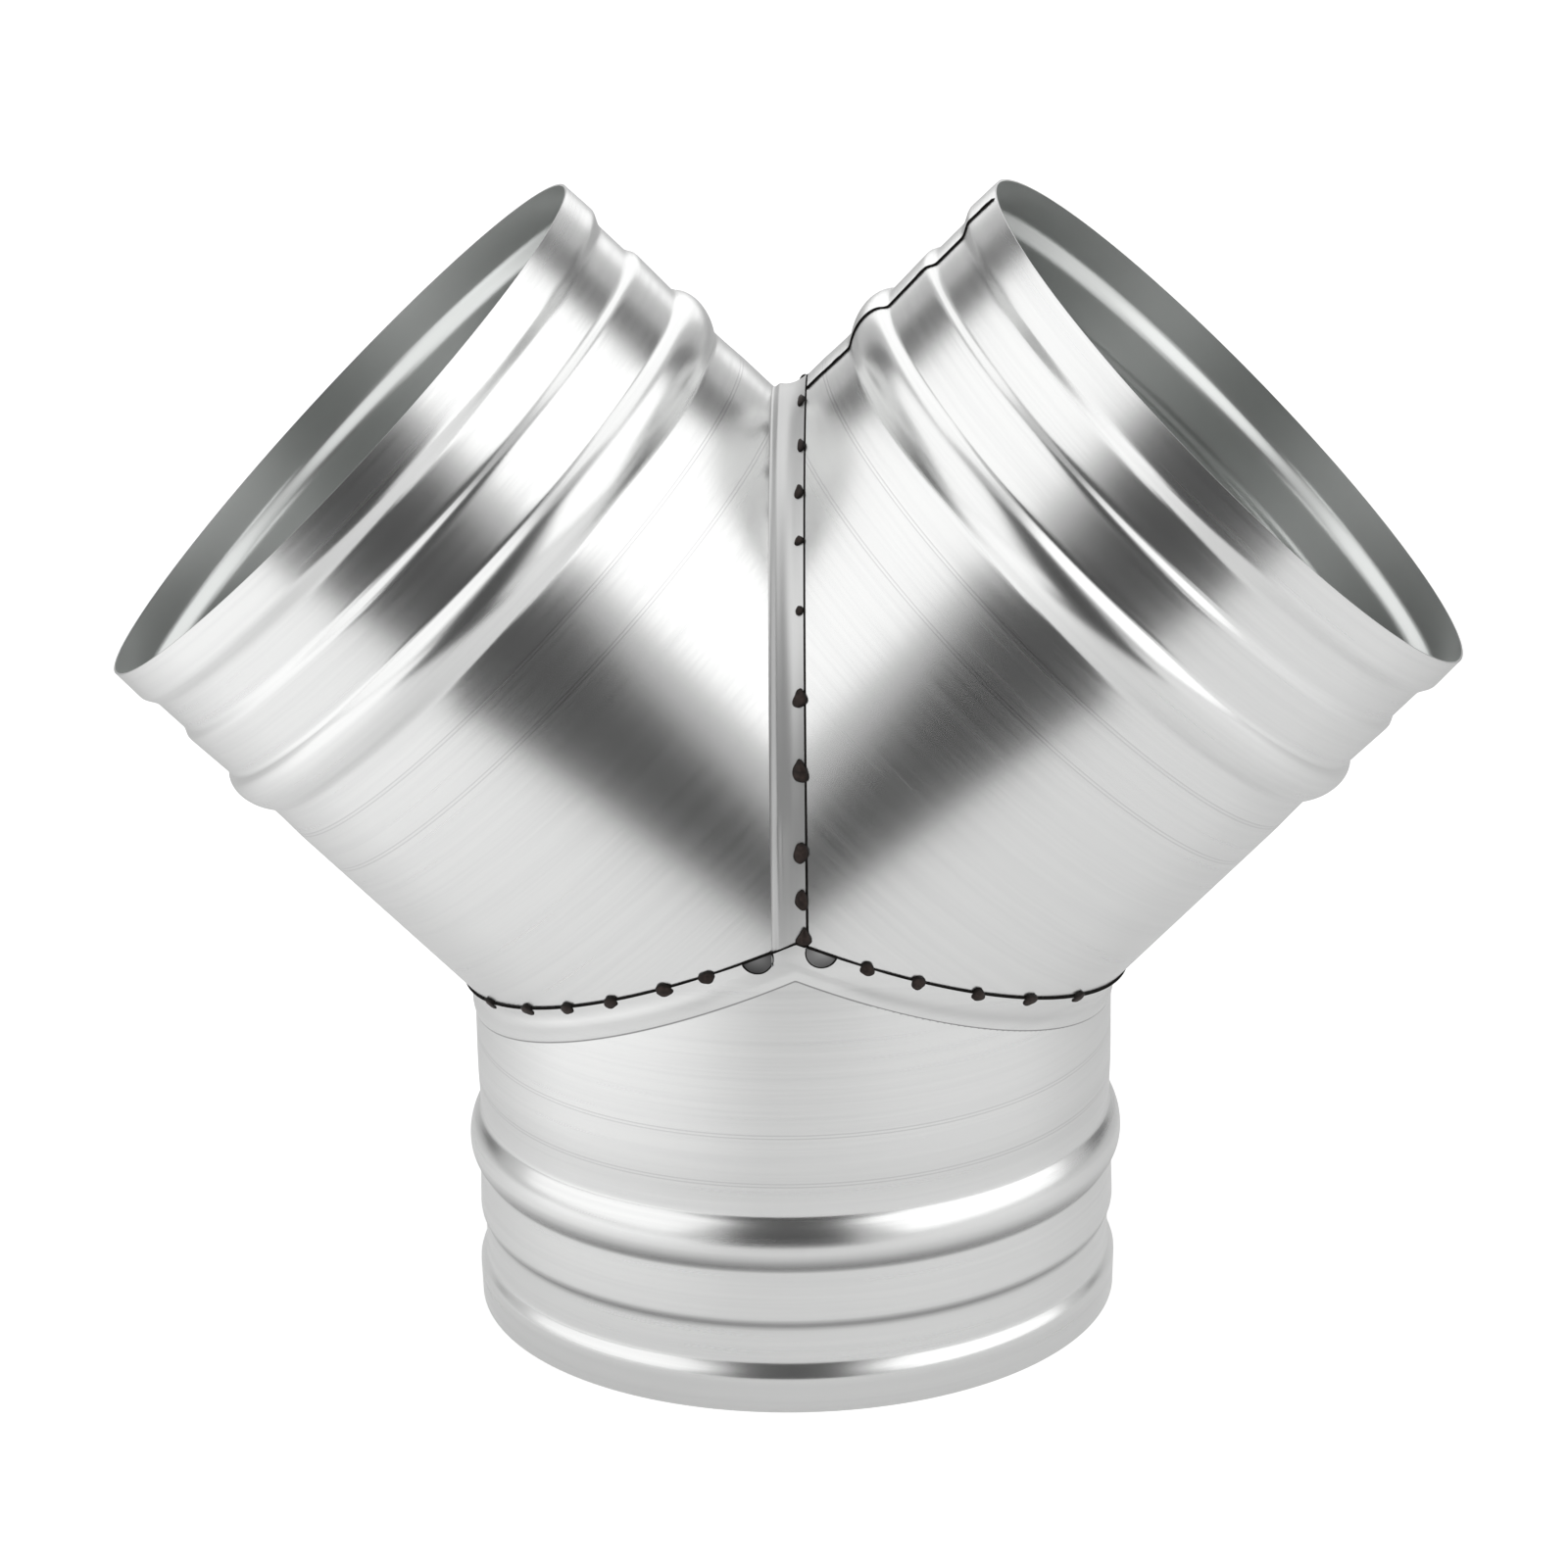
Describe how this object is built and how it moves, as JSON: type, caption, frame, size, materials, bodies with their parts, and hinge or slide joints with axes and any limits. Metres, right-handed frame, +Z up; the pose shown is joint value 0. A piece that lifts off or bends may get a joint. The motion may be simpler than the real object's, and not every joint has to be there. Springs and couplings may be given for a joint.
{
  "type": "duct splitter",
  "caption": "Round galvanised Y-fitting that splits an air duct into branches leaning left and right, with rolled stop beads, mitred lap seams and tack welds.",
  "frame": {"origin": "centre of the trunk's rim, on the surface that the fitting stands on", "axes": "+Z up the trunk's axis, X across both branches, the notched front faces -Y"},
  "size_m": [0.326, 0.1624, 0.279],
  "materials": {
    "galvanised_sheet": "bright rolled zinc, fine brushing round each sleeve",
    "tack_weld": "dark brown oxidised weld"
  },
  "bodies": {
    "root": {"trunk_sleeve": "galvanised_sheet", "left_branch": "galvanised_sheet", "right_branch": "galvanised_sheet", "collar_tack_welds": "tack_weld", "throat_tack_welds": "tack_weld", "lap_tack_welds": "tack_weld"}
  },
  "joints": []
}
